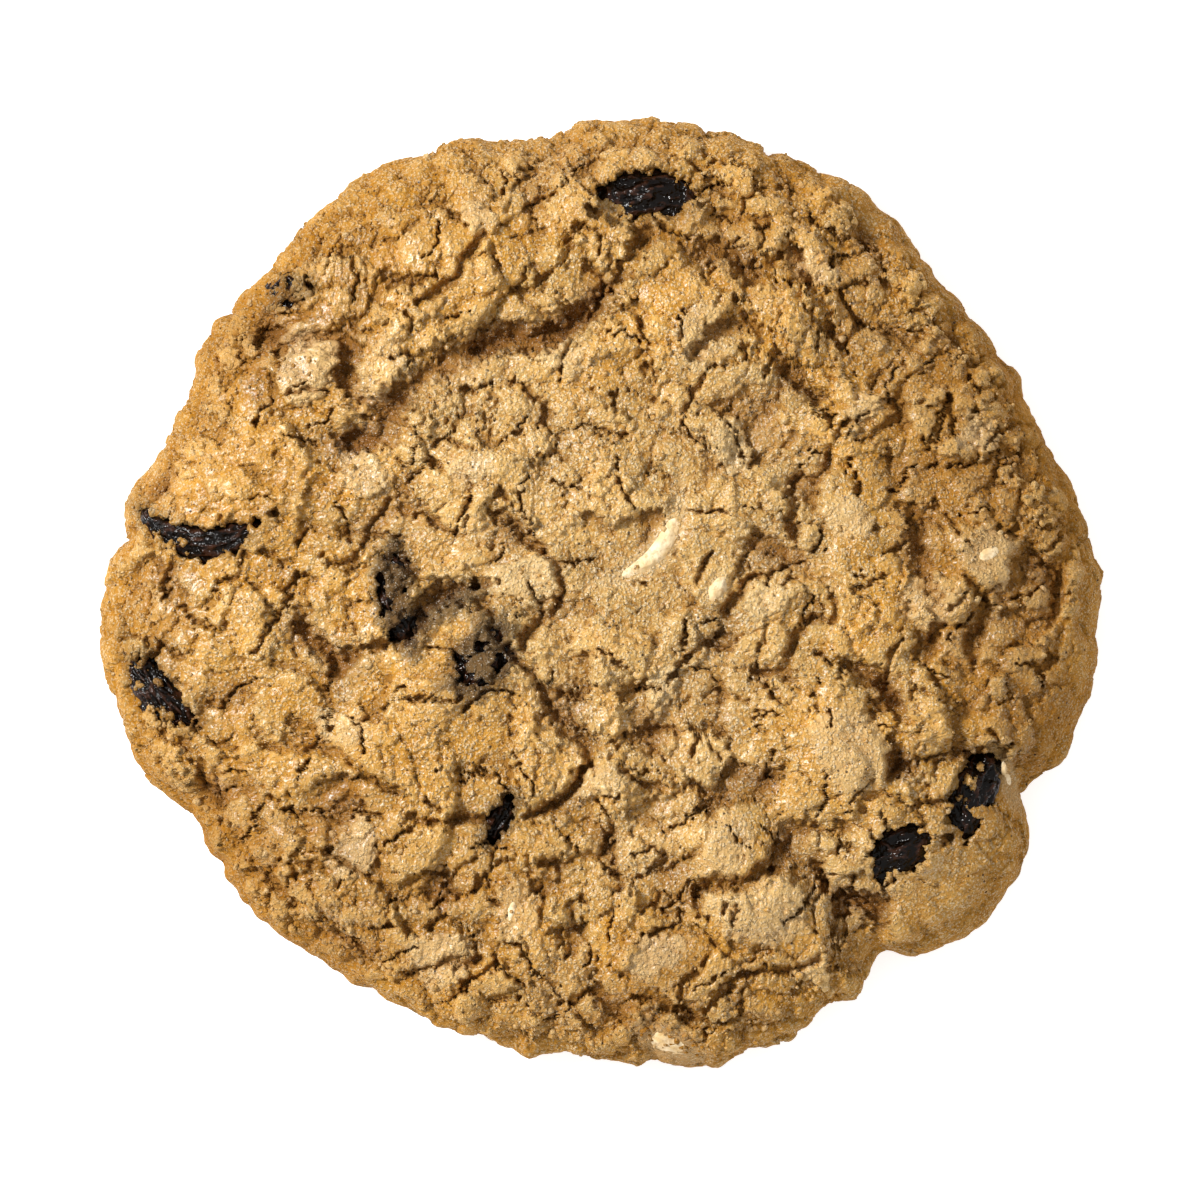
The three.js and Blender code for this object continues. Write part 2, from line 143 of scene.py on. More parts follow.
lumps = [
    ((17.5, 32), 3.4, 0.9), ((23, 36), 3.2, 0.7), ((27, 26.5), 3.4, 0.9), ((16.7, 23.3), 3.8, 0.8),
    ((9.9, 15.2), 3.0, 0.8), ((24.3, 15.7), 3.8, 0.9), ((35.5, 18.8), 3.4, 0.8), ((1.8, -17.2), 3.6, 1.0),
    ((14.9, -0.1), 3.8, 0.8), ((1.8, -5.5), 3.4, 0.8), ((3.2, -10.6), 2.6, 1.2), ((28.4, -10.9), 3.4, 0.9),
    ((-19.4, 22.9), 3.2, 0.9), ((-5.4, 28.3), 5.4, 0.6), ((-8.6, 13.4), 4.4, 0.5), ((30.6, -0.3), 3.0, 0.8),
    ((-22.5, -27.5), 4.4, 0.7), ((-6, -30), 4.4, 0.6), ((1.5, -28), 4.2, 0.5), ((-25, 8), 4.0, 0.5),
    ((-31, -3), 4.2, 0.6),
]  # middle, radius, height
lumpSides = (0.35, 1.1)  # shares of a lump's radius where its side begins and has run out
plateShape = {
    "count": 210, "field": 46, "turn": 0, "jitter": 1.5, "draws": 1, "lift": 0.65, "lean": 0.12,
    "blend": 0.14, "seamDepth": 0.9, "seamWidth": (0.1, 0.42),
    "warpReach": 1.4, "warpSize": 4.5,
    "batches": 60,  # lots that the crust is taken in, to spare memory
}
seamShape = {"shut": 0.4, "floor": 0.35}  # share of seams shut, and of a seam that is floor
crumbShape = {"top": 0.5, "fall": 1.4, "turnKey": 97}  # dome of a crumb, and spread of the ways they face
clefts = [
    ([(-23, 13.1), (-18.9, 16.1), (-14.6, 19.9), (-7, 22.4), (-0.4, 25.4)], 2.3, 2.0),
    ([(-0.4, 25.4), (2.2, 28.4), (4.1, 31.9)], 1.5, 1.6),
    ([(-29.3, 24.5), (-27.7, 21.5), (-23.9, 22.7), (-18.4, 16)], 1.5, 1.4),
    ([(9, 30.5), (13, 29.3), (18.4, 29.9), (17.7, 27.9), (22.5, 20.9)], 1.5, 1.4),
    ([(9.5, 22.4), (12.4, 25.4), (16.1, 19.7), (20.7, 16)], 1.4, 1.3),
    ([(10.7, -4.1), (7.8, -5.5), (6.2, -7.6)], 1.0, 1.2),
    ([(4.5, -11.9), (-1.9, -13.2)], 1.4, 0.8),
    ([(23.7, -5.9), (26.9, -11.2), (26.4, -14.1)], 1.6, 1.8),
    ([(26.4, -14.1), (23.7, -20.2), (15.4, -23.6)], 1.5, 0.8),
    ([(27.8, 8.5), (27.8, 3.2), (30.8, -4.3)], 1.3, 1.2),
    ([(41.1, 5.1), (40.2, -0.2), (39.5, -7)], 1.3, 1.2),
    ([(-26.4, -3), (-23, -5.5), (-18.9, -4.1), (-14.2, -0.1), (-9.9, 0.4)], 1.3, 1.6),
    ([(25.2, -35), (25.5, -28.6), (21.2, -28.4), (19.5, -25.9)], 1.2, 1.6),
    ([(39, -18), (34.7, -14.7), (31.1, -13)], 1.3, 1.4),
    ([(-36.7, -12.7), (-36.7, -17.6), (-30.4, -25.7), (-18.5, -35.6)], 1.4, 1.0),
    ([(-0.1, -35.3), (1.1, -37.4), (9.5, -36.9), (12.2, -35.2)], 1.4, 1.1),
]  # course, half width, depth
cracks = [
    ([(-16.7, 27.0), (-13.4, 28.9), (-10.4, 31.6)], 0.7, 1.3),
    ([(-4.2, 31.4), (-1.0, 32.9)], 0.6, 1.1),
    ([(18.4, 11.3), (17.7, 8.7), (16.2, 6.5)], 0.6, 1.3),
    ([(16.1, 2.1), (13.0, 1.0), (10.9, -1.5)], 0.6, 1.3),
    ([(-1.9, -12.8), (-1.0, -14.9), (-2.2, -17.6), (-6.3, -19.3)], 0.8, 1.4),
    ([(1.8, -15.4), (6.6, -16.3), (8.4, -18.4)], 0.7, 1.2),
    ([(19.3, -3.0), (18.4, -5.0), (16.6, -7.1), (14.2, -7.3)], 0.7, 1.3),
    ([(32.1, 1.9), (34.2, -0.5), (34.0, -5.7)], 0.7, 1.2),
    ([(9.5, -26.1), (15.3, -23.8)], 0.7, 1.2),
    ([(11.7, -34.7), (15.3, -33.4), (18.9, -31.6)], 0.7, 1.1),
    ([(-2.3, -27.3), (-2.3, -32.3)], 0.6, 1.0),
    ([(-5.1, -23.6), (-0.8, -23.6), (0.6, -21.5)], 0.7, 1.1),
    ([(-17.6, -19.9), (-12.6, -19.6), (-9.0, -20.8)], 0.6, 1.0),
    ([(-29.8, -12.3), (-24.3, -14.0), (-21.3, -16.7), (-18.5, -17.6)], 0.6, 0.9),
    ([(-8.1, 5.8), (-5.1, 3.5), (-4.2, 0.7), (-5.1, -1.8), (-5.6, -3.9)], 0.6, 1.2),
    ([(-17.6, -35.1), (-14.3, -33.5), (-10.9, -33.2)], 0.6, 0.9),
    ([(-26.1, -22.1), (-22.5, -23.5), (-18.5, -26.5)], 0.5, 0.8),
    ([(-24.3, 3.1), (-21.6, 3.5), (-19.4, 6.7), (-18.7, 8.5)], 0.6, 1.0),
    ([(-10.4, -1.4), (-6.8, -5), (-4.3, -10), (-2.3, -12.7)], 0.7, 1.2),
]  # course, half width, depth
crackShape = {
    "count": 170, "field": 40, "turn": 0, "jitter": 1.6, "draws": 31,
    "lengths": (1.6, 4.6), "bend": 0.7, "halfWidths": (0.14, 0.3), "depth": 1.0,
}
furrowShape = {"floor": 0.1, "margin": 2}  # share of the half width that is floor, half widths looked at
raisinTraits = "at", "size", "heading", "bend", "shows", "cover", "stain", "sunk"
raisins = [dict(zip(raisinTraits, values)) for values in (
    ((4.0, 35.5), (11.2, 6.0), 7, -0.6, (9.6, 4.4), -0.3, 0.3, 0.2),
    ((-35.4, 4.6), (12.2, 4.8), -3, 2.3, (11.0, 2.6), 0.15, 0.4, 0.3),
    ((-39.5, -8.7), (9.8, 4.6), -50, 0.6, (8.8, 2.6), 0.15, 0.5, 0.4),
    ((-18.3, -0.3), (8.4, 4.4), -80, 0.5, (8.4, 3.0), 0.62, 1.0, 0.3),
    ((-10.4, -5.9), (8.0, 5.6), 60, 0.5, (6.8, 4.2), 0.76, 1.0, 0.2),
    ((-8.8, -19.8), (6.4, 4.2), 60, 0.0, (4.4, 2.1), 0.2, 0.8, 0.2),
    ((33.5, -17.4), (9.8, 5.6), 62, -0.4, (8.6, 3.9), 0.15, 0.2, 0.1),
    ((26.6, -22.8), (8.0, 5.6), 35, 0.0, (6.6, 4.0), -0.05, 0.2, 0.1),
    ((-27.6, 27.1), (6.4, 4.2), 20, 0.0, (4.2, 2.2), 0.4, 0.6, 1.2),
)]  # middle, length and width, degrees, sideways bend, what shows, share under crumbs, juice, depth
goldenAngle = math.pi * (3 - math.sqrt(5))


def spread(index, look):  # even places over a disc, each straying a little
    radius = look["field"] * np.sqrt((index + 0.5) / look["count"])
    turn = look["turn"] + index * goldenAngle
    strayX, strayY = (look["jitter"] * swing(index, look["draws"] + way) for way in (0, 1))
    return radius * np.cos(turn) + strayX, radius * np.sin(turn) + strayY


def rimRadius(direction):
    degrees = np.degrees(direction) % 360
    angles, radii = np.array(rimShape["points"]).T
    after = np.searchsorted(angles, degrees, side="right").clip(1, len(angles) - 1)
    radius = mixed(radii[after - 1], radii[after], smoothStep(degrees, angles[after - 1], angles[after]))
    waves = rimShape["roughWaves"]
    rough = unevenness(waves * np.cos(direction), waves * np.sin(direction), layers["rim"])
    radius = radius + rimShape["roughness"] * rough
    for at, halfWidth, depth in rimShape["splits"]:
        radius = radius - depth * np.exp(-(((degrees - at) / halfWidth) ** 2))
    return radius


def roundHeight(share):
    crown = roundShape["crown"] - roundShape["shoulderDrop"] * share**2
    wall = np.maximum(0, 1 - share ** roundShape["wallTurn"]) ** (1 / roundShape["wallFullness"])
    return roundShape["foot"] + (crown - roundShape["foot"]) * wall


def rimShare(x, y):
    return np.minimum(1, np.hypot(x, y) / rimRadius(np.arctan2(y, x)))


def moundRelief(x, y):
    return sum(height * spot(x, y, at, radius) for at, radius, height in mounds)


def plainHeight(x, y):  # the round and its mounds, without its breaks
    return roundHeight(rimShare(x, y)) + moundRelief(x, y)


def lumpRelief(x, y):  # clods with steep sides
    return np.max([
        height * fading(np.hypot(x - at[0], y - at[1]) / radius, *lumpSides)
        for at, radius, height in lumps
    ], axis=0)


def domed(gaps, size):  # rounded crumbs with creases between
    return crumbShape["top"] - crumbShape["fall"] * (gaps[:, 0] / size) ** 2


def tilted(points, middles, draws, lean):  # each crumb's face slopes its own way
    turn = 2 * np.pi * (draws * crumbShape["turnKey"] % 1)
    off = points - middles
    return lean * (off[:, 0] * np.cos(turn) + off[:, 1] * np.sin(turn))


def slabs(gaps, heights, pairs, look, openness):  # stepped slabs, with seams open here and shut there
    border = (gaps[:, 1] - gaps[:, 0]) / 2
    share = 0.5 * np.exp(-border / look["blend"])
    gape = smoothStep(pairs, seamShape["shut"], 1) * openness
    width = mixed(*look["seamWidth"], gape)
    seam = look["seamDepth"] * gape * fading(border / width, seamShape["floor"], 1)
    return mixed(heights[:, 0], heights[:, 1], share) - seam


def plateRelief(x, y, openness):
    index = np.arange(plateShape["count"])
    plateX, plateY = spread(index, plateShape)
    lift = plateShape["lift"] * swing(index, 3)
    leanX, leanY = plateShape["lean"] * swing(index, 4), plateShape["lean"] * swing(index, 5)
    relief = np.zeros_like(x)
    for part in np.array_split(np.arange(len(x)), plateShape["batches"]):
        px, py = x[part][:, None], y[part][:, None]
        away = np.hypot(px - plateX, py - plateY)
        two = np.argpartition(away, 1, axis=1)[:, :2]
        gaps = np.take_along_axis(away, two, axis=1)
        heights = lift[two] + leanX[two] * (px - plateX[two]) + leanY[two] * (py - plateY[two])
        pairs = draw(two, 6).sum(axis=1) % 1
        relief[part] = slabs(gaps, heights, pairs, plateShape, openness[part])
    return relief


def courseDistance(x, y, course):
    least = np.full_like(x, np.inf)
    for (fromX, fromY), (toX, toY) in zip(course, course[1:]):
        alongX, alongY = toX - fromX, toY - fromY
        share = ((x - fromX) * alongX + (y - fromY) * alongY) / (alongX**2 + alongY**2)
        held = np.clip(share, 0, 1)
        least = np.minimum(least, np.hypot(x - fromX - held * alongX, y - fromY - held * alongY))
    return least


def shortCracks():
    courses = []
    for index in range(crackShape["count"]):
        x, y = spread(index, crackShape)
        half = mixed(*crackShape["lengths"], draw(index, 33)) / 2
        first = math.pi * draw(index, 34)
        last = first + crackShape["bend"] * swing(index, 35)
        start = (x - half * math.cos(first), y - half * math.sin(first))
        end = (x + half * math.cos(last), y + half * math.sin(last))
        halfWidth = mixed(*crackShape["halfWidths"], draw(index, 36))
        courses.append(([start, (x, y), end], halfWidth, crackShape["depth"]))
    return courses


def deepest(x, y, courses, gape):  # furrows along courses, wider here and narrower there
    depths = np.zeros_like(x)
    for course, reach, depth in courses:
        margin = furrowShape["margin"] * reach
        low, high = np.min(course, axis=0) - margin, np.max(course, axis=0) + margin
        near = np.flatnonzero((x > low[0]) & (x < high[0]) & (y > low[1]) & (y < high[1]))
        share = courseDistance(x[near], y[near], course) / (reach * gape[near])
        depths[near] = np.maximum(depths[near], depth * fading(share, furrowShape["floor"], 1))
    return depths


def ovalShare(x, y, at, size, heading, bend=0.0):  # 0 in the middle of a bent oval, 1 on its outline
    turn = math.radians(heading)
    along = ((x - at[0]) * math.cos(turn) + (y - at[1]) * math.sin(turn)) / (size[0] / 2)
    aside = (y - at[1]) * math.cos(turn) - (x - at[0]) * math.sin(turn) - bend * along**2
    return np.hypot(along, aside / (size[1] / 2))


# node trees as Python expressions

def operator(operation, reflected=False):
    def apply(self, other=0.0):
        return self.maths(operation, *((other, self) if reflected else (self, other)))

    return apply


def plug(tree, entry, value):  # links a wire, or sets a plain value
    if isinstance(value, Wire):
        tree.links.new(value.socket, entry)
    else:
        entry.default_value = value


class Wire:
    def __init__(self, tree, socket):
        self.tree, self.socket = tree, socket

    def maths(self, operation, *values):
        node = self.tree.nodes.new("ShaderNodeMath")
        node.operation = operation
        for entry, value in zip(node.inputs, values):
            plug(self.tree, entry, value)
        return Wire(self.tree, node.outputs[0])

    __add__, __radd__ = operator("ADD"), operator("ADD", reflected=True)
    __sub__, __rsub__ = operator("SUBTRACT"), operator("SUBTRACT", reflected=True)
    __mul__, __rmul__ = operator("MULTIPLY"), operator("MULTIPLY", reflected=True)
    __abs__ = operator("ABSOLUTE")


class Finish:
    def __init__(self, name):
        self.material = bpy.data.materials.new(name)
        self.material.use_nodes = True
        self.tree = self.material.node_tree
        self.shader = next(n for n in self.tree.nodes if n.type == "BSDF_PRINCIPLED")
        self.place = self.node("ShaderNodeTexCoord", output="Object")

    def node(self, kind, settings=None, sockets=None, output=0):
        made = self.tree.nodes.new(kind)
        for name, value in (settings or {}).items():
            if name == "stops":
                while len(made.color_ramp.elements) < len(value):
                    made.color_ramp.elements.new(0.5)
                for stop, (at, level) in zip(made.color_ramp.elements, value):
                    stop.position = at
                    stop.color = (level, level, level, 1)
            else:
                setattr(made, name, value)
        for name, value in (sockets or {}).items():
            plug(self.tree, made.inputs[name], value)
        return Wire(self.tree, made.outputs[output])

    def feed(self, name, value):
        plug(self.tree, self.shader.inputs[name], value)

    def grain(self, size, detail=2.0, roughness=0.5):  # noise of about this size in mm, from 0 to 1
        sockets = {"Scale": 1 / (size * mm), "Detail": detail, "Roughness": roughness}
        return self.node("ShaderNodeTexNoise", {}, {"Vector": self.place, **sockets})

    def cells(self, size, torn=0.0):  # distance to the nearest of scattered middles, spaced so in mm
        place = self.place
        if torn:
            sockets = {"Vector": place, "Scale": 1 / (torn * mm)}
            wander = self.node("ShaderNodeTexNoise", {}, sockets, output="Color")
            sockets = {0: wander, 1: (torn * mm,) * 3, 2: place}
            place = self.node("ShaderNodeVectorMath", {"operation": "MULTIPLY_ADD"}, sockets)
        return self.node("ShaderNodeTexVoronoi", {}, {"Vector": place, "Scale": 1 / (size * mm)})

    def ramp(self, value, *stops):
        return self.node("ShaderNodeValToRGB", {"stops": stops}, {"Fac": value})

    def attribute(self, name):
        return self.node("ShaderNodeAttribute", {"attribute_name": name}, output="Fac")

    def blend(self, share, first, second):  # by number, as several sockets share a name
        sockets = {0: share, 6: first, 7: second}
        return self.node("ShaderNodeMix", {"data_type": "RGBA"}, sockets, output=2)

    def layered(self, tones, first, *laid):  # each tone laid over the last by its mask
        tint = colour(tones[first])
        for mask, name in laid:
            tint = self.blend(mask, tint, colour(tones[name]))
        return tint

    def bump(self, height, distance, strength=1.0, invert=False):
        sockets = {"Strength": strength, "Distance": distance * mm, "Height": height}
        self.feed("Normal", self.node("ShaderNodeBump", {"invert": invert}, sockets, output="Normal"))


def colour(tone):  # the eye's 0 to 255 values as a shader colour
    return (*Color([level / 255 for level in tone]).from_srgb_to_scene_linear(), 1.0)


# meshes and pieces

def meshFrom(bm, name):
    mesh = bpy.data.meshes.new(name)
    bm.to_mesh(mesh)
    bm.free()
    return mesh


def setAttribute(mesh, name, values):
    layer = mesh.attributes.new(name, "FLOAT", "POINT")
    layer.data.foreach_set("value", np.asarray(values, np.float32))


def addObject(name, content):
    made = bpy.data.objects.new(name, content)
    bpy.context.scene.collection.objects.link(made)
    return made


def addPiece(mesh, finish, solid):
    mesh.materials.append(finish.material)
    mesh.shade_smooth()
    piece = addObject(mesh.name, mesh)
    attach(piece, "root")
    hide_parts(solid)


# oat flakes, bare and as the dough covers them

flakeLook = {
    "bare": [
        ((5.2, 3.8), 9.4, 1.9, 49, 1.5, 0.32), ((10.4, 0.5), 2.6, 1.5, 60, 0.0, 0.4),
        ((24.1, -13.9), 4.8, 1.2, -49, -0.8, -0.05), ((36.6, -16.8), 4.0, 1.2, -75, 0.0, 0.0),
        ((34.7, 3.7), 3.6, 2.2, 25, 0.0, 0.05),
        ((-7.9, -28.2), 3.6, 1.2, 82, 0.0, 0.1), ((6.3, -40.2), 5.4, 2.2, -22, 0.0, 0.2),
    ],  # middle, length, width, heading, sideways bend, height above the crust
    "thickness": 1.5, "fineness": 4,
    "outline": (0.5, 0.2), "face": (1.5, 0.12),  # size and reach of their unevenness
    "bed": {"edge": (0.9, 1.8), "flat": 0.9, "pale": 0.2},  # the crust round a bare flake
    "large": [
        ((3.2, 4.7), 9.9, 6.0, 47, -0.15), ((22.5, -13.6), 9.6, 7.6, -50, 0.5),
        ((13.5, -27.8), 8.0, 6.2, 25, 0.5), ((10.6, -22.4), 7.0, 5.4, 20, 0.5),
        ((-6.8, -28.4), 6.7, 4.8, 85, 0.3), ((34.7, 3.7), 5.6, 4.4, 30, 0.4),
        ((28.8, -0.5), 6.0, 4.6, -60, 0.4), ((-19.0, 19.7), 6.0, 4.6, 60, 0.4),
    ],  # middle, length, width, heading, height of the dough over it
    "small": {
        "count": 38, "field": 38.5, "turn": 0.5, "jitter": 0, "draws": 14,
        "lengths": (4.4, 7.2), "widths": (0.66, 0.86), "bump": 0.5,
    },
    "cover": (0.72, 1.05),  # shares of a covered flake between which the dough over it falls
    "tones": {
        "plain": (236, 214, 174), "patch": (212, 174, 112), "speck": (186, 140, 78),
        "edge": (240, 222, 184),
    },
    "grains": {"speck": (0.5, 3.0, 0.6), "patch": (1.6,)}, "cells": 0.6,  # size, detail and roughness
    "roughness": 0.55, "bump": (0.2, 0.8),  # bump in mm, and its strength
}


def coveredFlakes():
    specs = list(flakeLook["large"])
    bulky = [(spec[0], spec[1]) for spec in specs]
    bulky += [(raisin["at"], raisin["size"][0]) for raisin in raisins]
    small = flakeLook["small"]
    for index in range(small["count"]):
        at = spread(index, small)
        length = mixed(*small["lengths"], draw(index, 11))
        width = length * mixed(*small["widths"], draw(index, 12))
        if all(math.dist(at, other) > (length + span) / 2 for other, span in bulky):
            specs.append((at, length, width, 180 * draw(index, 13), small["bump"]))
    return specs


# dough

doughLook = {
    "granule": {"size": 0.6, "dome": 0.07, "lift": 0.08, "lean": 0.07, "whole": 0.85},
    "clumps": {"size": 1.4, "dome": 0.125, "lean": 0.088, "whole": 0.4},
    "rubble": {"most": 3.0, "depth": 1.5, "craggy": 0.25},  # larger clumps in furrows and in craggy crust
    "chunks": {
        "size": 2.9, "dome": 0.6, "lift": 0.2, "lean": 0.14,
        "blend": 0.08, "seamDepth": 0.7, "seamWidth": (0.06, 0.22), "open": (0.35, 0.65),
        "calm": 0.5, "craggy": 1.2, "rim": 0.35,  # less or more of a dome there
    },
    "uneven": (5.0, 0.3),  # size and height of the rolling crust
    "craggy": [((29, 22), 12), ((37, 3), 9), ((14, 33), 8), ((27, -11), 6), ((-12, -30), 9)],
    "calm": [((-17, -10), 11), ((3, 3), 10), ((-32, 12), 7), ((20, -14), 6)],  # middles and radii of both
    "lips": [(352, 16, 0.92), (322, 13, 0.86), (228, 32, 0.985), (42, 30, 0.975)],
    "lipEdge": (-0.03, 0.01),  # lips are smooth rim: degrees, half width, inner share, and how this fades
    "lipCalm": {"large": 0.5, "fine": 0.6, "grit": 0.5},  # share of the relief that a lip loses
    "rimBand": (0.84, 0.95),  # shares of the radius where the rubble of the rim begins and is full
    "tears": [(1.7, 0.45), (0.8, 0.25)],  # size and reach of the torn edges of slabs
    "crackTear": (0.5, 0.3),  # the same of cracks
    "passing": {"cracks": 0.8, "seams": 0.55},  # how far these pass through granules, not round them
    "open": {"calm": 0.85, "size": 7.0, "levels": (-0.6, 0.2)},  # where seams stay shut
    "gape": {"middle": 0.85, "spread": 0.5, "size": 5.0, "cracks": 0.2},  # width of clefts, more for cracks
    "cleftDepth": (2.2, 0.7),  # size and share of the uneven depth of clefts
    "pits": [((33.1, -13.7), 0.85, 2.0), ((3.8, 21.2), 0.7, 1.2), ((2.2, 41.2), 0.8, 1.0)],
    "pitSides": (0.5, 1.2),  # pits: middle, radius, depth; shares of the radius where a side lies
    "oatFlat": {"plates": (1.4, 0.5), "fine": (1.6, 0.55), "pale": (0.5, 0.6)},  # rate and limit over oats
    "opening": {
        "reach": 3, "ragged": (1.3, 0.45), "edge": (0.92, 1.08), "crumbs": 1.7, "crumbEdge": (-0.5, -0.4),
        "brim": (1.0, 1.9), "stain": (0.9, 1.7), "brimHeight": 0.3, "floor": 2.0,
    },  # the hole over a raisin, in shares of what shows of it
    "smears": [((-14.3, -1.6), 9.0, 2.2, 30, 0.9)],  # middle, length, width, heading, strength of juice
    "smearEdge": (0.6, 1.5),
    "browned": [
        ((31, 14), 9, 0.9), ((34, 2), 7, 1.0), ((37, -9), 6, 1.0), ((12, 31), 7, 0.6), ((4, 32), 4, 0.5),
        ((-12, 33), 5, 0.3), ((-22, -22), 6, 0.6), ((-34, -22), 9, 0.8), ((-22, 26), 7, 0.4),
        ((-20, -29), 8, 0.5), ((-40, -4), 8, 0.1), ((-31, 23), 6, 0.6), ((38, 12), 8, 0.8),
        ((22, 26), 9, 0.2), ((-7, -24), 5, 0.5), ((6, -33), 5, 1.0), ((15, -11), 4, 0.4),
        ((-31, 8), 6, 0.7), ((11, 17), 5, -0.9), ((14, 5), 6, -0.8), ((-7, 39), 5, -1.0),
        ((10, 40), 5, -0.5), ((23, 33), 5, -0.6), ((-11, 14), 7, -1.0), ((1, 2), 15, -1.0),
        ((24, -24), 5, -0.7), ((17, -27), 6, -0.4), ((13, -9), 6, -0.5), ((32, -26), 6, -0.6),
        ((11, -17), 4, -0.8), ((-7, -3), 5, -0.4), ((0, -9), 4, -0.7), ((8, -9), 4, -0.6),
        ((17, 9), 5, -0.9), ((2, -25), 4, -0.8), ((-4, -36), 5, -0.7), ((-41, 9), 5, -0.8),
        ((-26.6, 22), 3, 0.6), ((12, -22), 3.5, 0.45), ((4, -20.5), 3.5, -0.6), ((2, 40), 5, -0.6),
        ((3, -40), 4, 0.7),
    ],  # middle, radius, strength of browner crust, or paler if below zero
    "wallGrain": 0.9,  # share of the fine relief left at the foot
    "means": (8, 20, 46),  # cells each way in the near, wide and far means of the relief
    "spans": {"grit": 0.24, "hollow": 0.6, "cleft": 0.9, "ridge": 0.5, "raised": 2.4},  # mm, of full traits
    "hues": {"broad": 12.0, "patch": 3.0, "rough": 2.6},  # sizes of patches of colour and of grain
    "underside": {"rim": 1.1},  # traits below the foot, if not 0
    "tones": {
        "plain": (197, 150, 68), "golden": (210, 146, 24), "pale": (219, 180, 114),
        "browned": (156, 104, 24), "edge": (164, 110, 28), "warmGrain": (194, 138, 42),
        # the low and high tones on the next line are painted shade on low ground and painted light on
        # raised ground
        "greyGrain": (185, 150, 84), "low": (168, 116, 50), "high": (226, 172, 84),
        # painted shade and highlight: the first two tones on the next line darken the low parts of the
        # granules and lighten their tops
        "grainShade": (156, 98, 18), "grainHighlight": (238, 217, 180), "darkCrumb": (152, 99, 22),
        # painted highlight on ridges and painted shade in hollows and clefts (the tones named so on this
        # line and the next)
        "paleCrumb": (226, 200, 153), "ridge": (226, 188, 120), "hollow": (150, 104, 44),
        # painted shade in pores and small pits, and painted glints as white specks: the last tone on the
        # next line and the two tones after it
        "cleft": (120, 75, 26), "juice": (64, 46, 34), "poreShade": (52, 28, 8),
        "pitShade": (92, 56, 20), "paintedGlint": (250, 242, 226),
    },
    "grains": {"speck": (0.17, 3.0, 0.75), "hue": (0.28, 1.0, 0.7)},  # size, detail and roughness
    "pores": {"fine": 0.34, "torn": 0.3, "open": 0.9},  # spacing, and the tear of the fine ones
    "bump": 0.27,
    "gloss": {"Coat Roughness": 0.32, "Roughness": 0.8, "Specular IOR Level": 0.1},
}


def discPlaces(square):  # a square grid drawn into a disc, as share of the radius and direction
    u, v = square.T
    wide = np.abs(u) >= np.abs(v)
    larger, smaller = np.where(wide, u, v), np.where(wide, v, u)
    ratio = np.divide(smaller, larger, out=np.zeros_like(u), where=larger != 0)
    side = np.where(larger < 0, np.pi, 0)
    direction = np.where(wide, np.pi / 4 * ratio, np.pi / 2 - np.pi / 4 * ratio) + side
    ring = np.abs(larger)
    rings, start = roundShape["wallRings"], roundShape["wallStart"]
    past = (ring - (1 - rings)) / rings
    wall = start + (1 - start) * np.sin(np.maximum(past, 0) * np.pi / 2)
    return np.where(past < 0, start * ring / (1 - rings), wall), direction


def blurred(grid, reach):  # box mean over a square of cells, twice
    for axis in (0, 1, 0, 1):
        padded = np.pad(grid, [(reach + 1, reach) if a == axis else (0, 0) for a in (0, 1)], mode="edge")
        sums = np.cumsum(padded, axis=axis)
        high = np.take(sums, range(2 * reach + 1, sums.shape[axis]), axis=axis)
        low = np.take(sums, range(sums.shape[axis] - 2 * reach - 1), axis=axis)
        grid = (high - low) / (2 * reach + 1)
    return grid


def zoneShare(x, y, zone):  # 1 in the middle of a zone's places, fading out round them
    return np.max([spot(x, y, at, span) for at, span in doughLook[zone]], axis=0)


def lipShare(share, direction):  # 1 where the rim is smooth
    degrees = np.degrees(direction)
    start, end = doughLook["lipEdge"]
    lips = []
    for at, half, inner in doughLook["lips"]:
        away = (degrees - at + 180) % 360 - 180
        lips.append(np.exp(-(away / half) ** 2) * smoothStep(share, inner + start, inner + end))
    return np.max(lips, axis=0)


def oatRelief(x, y):  # rolled oats under the crust, flat on top
    relief = np.zeros_like(x)
    inner, outer = flakeLook["cover"]
    for at, length, width, heading, bump in coveredFlakes():
        edge = ovalShare(x, y, at, (length, width), heading)
        close = np.flatnonzero(edge < outer)
        cover = bump * fading(edge[close], inner, outer)
        relief[close] = np.where(np.abs(cover) > np.abs(relief[close]), cover, relief[close])
    return relief


def flakeBeds(x, y):  # the crust close to each bare flake, and how far it flattens and pales
    beds = []
    inner, outer = flakeLook["bed"]["edge"]
    for at, length, width, heading, bend, _ in flakeLook["bare"]:
        edge = ovalShare(x, y, at, (length, width), heading, bend)
        close = np.flatnonzero(edge < outer)
        beds.append((close, fading(edge[close], inner, outer)))
    return beds


def raisinOpenings(home):  # the ragged holes over raisins, the brims round these, and the juice stain
    look = doughLook["opening"]
    size, reach = look["ragged"]
    start, end = look["crumbEdge"]
    x, y = home.T[:2]
    opening, brim, stain = np.zeros((3, len(home)))
    for order, raisin in enumerate(raisins):
        edge = ovalShare(x, y, raisin["at"], raisin["shows"], raisin["heading"], raisin["bend"])
        close = np.flatnonzero(edge < look["reach"])
        ragged = edge[close] + reach * noiseField(home[close], size, layers["raisinEdge"] + order)
        crumbled = noiseField(home[close], look["crumbs"], layers["raisinCrumbs"] + order)
        clear = smoothStep(crumbled, raisin["cover"] + start, raisin["cover"] + end)
        opening[close] = np.maximum(opening[close], fading(ragged, *look["edge"]) * clear)
        brim[close] = np.maximum(brim[close], fading(edge[close], *look["brim"]))
        stain[close] = np.maximum(stain[close], raisin["stain"] * fading(ragged, *look["stain"]))
    for at, length, width, heading, amount in doughLook["smears"]:
        edge = ovalShare(x, y, at, (length, width), heading)
        stain = np.maximum(stain, amount * fading(edge, *doughLook["smearEdge"]))
    return opening, brim, np.clip(stain, 0, 1)


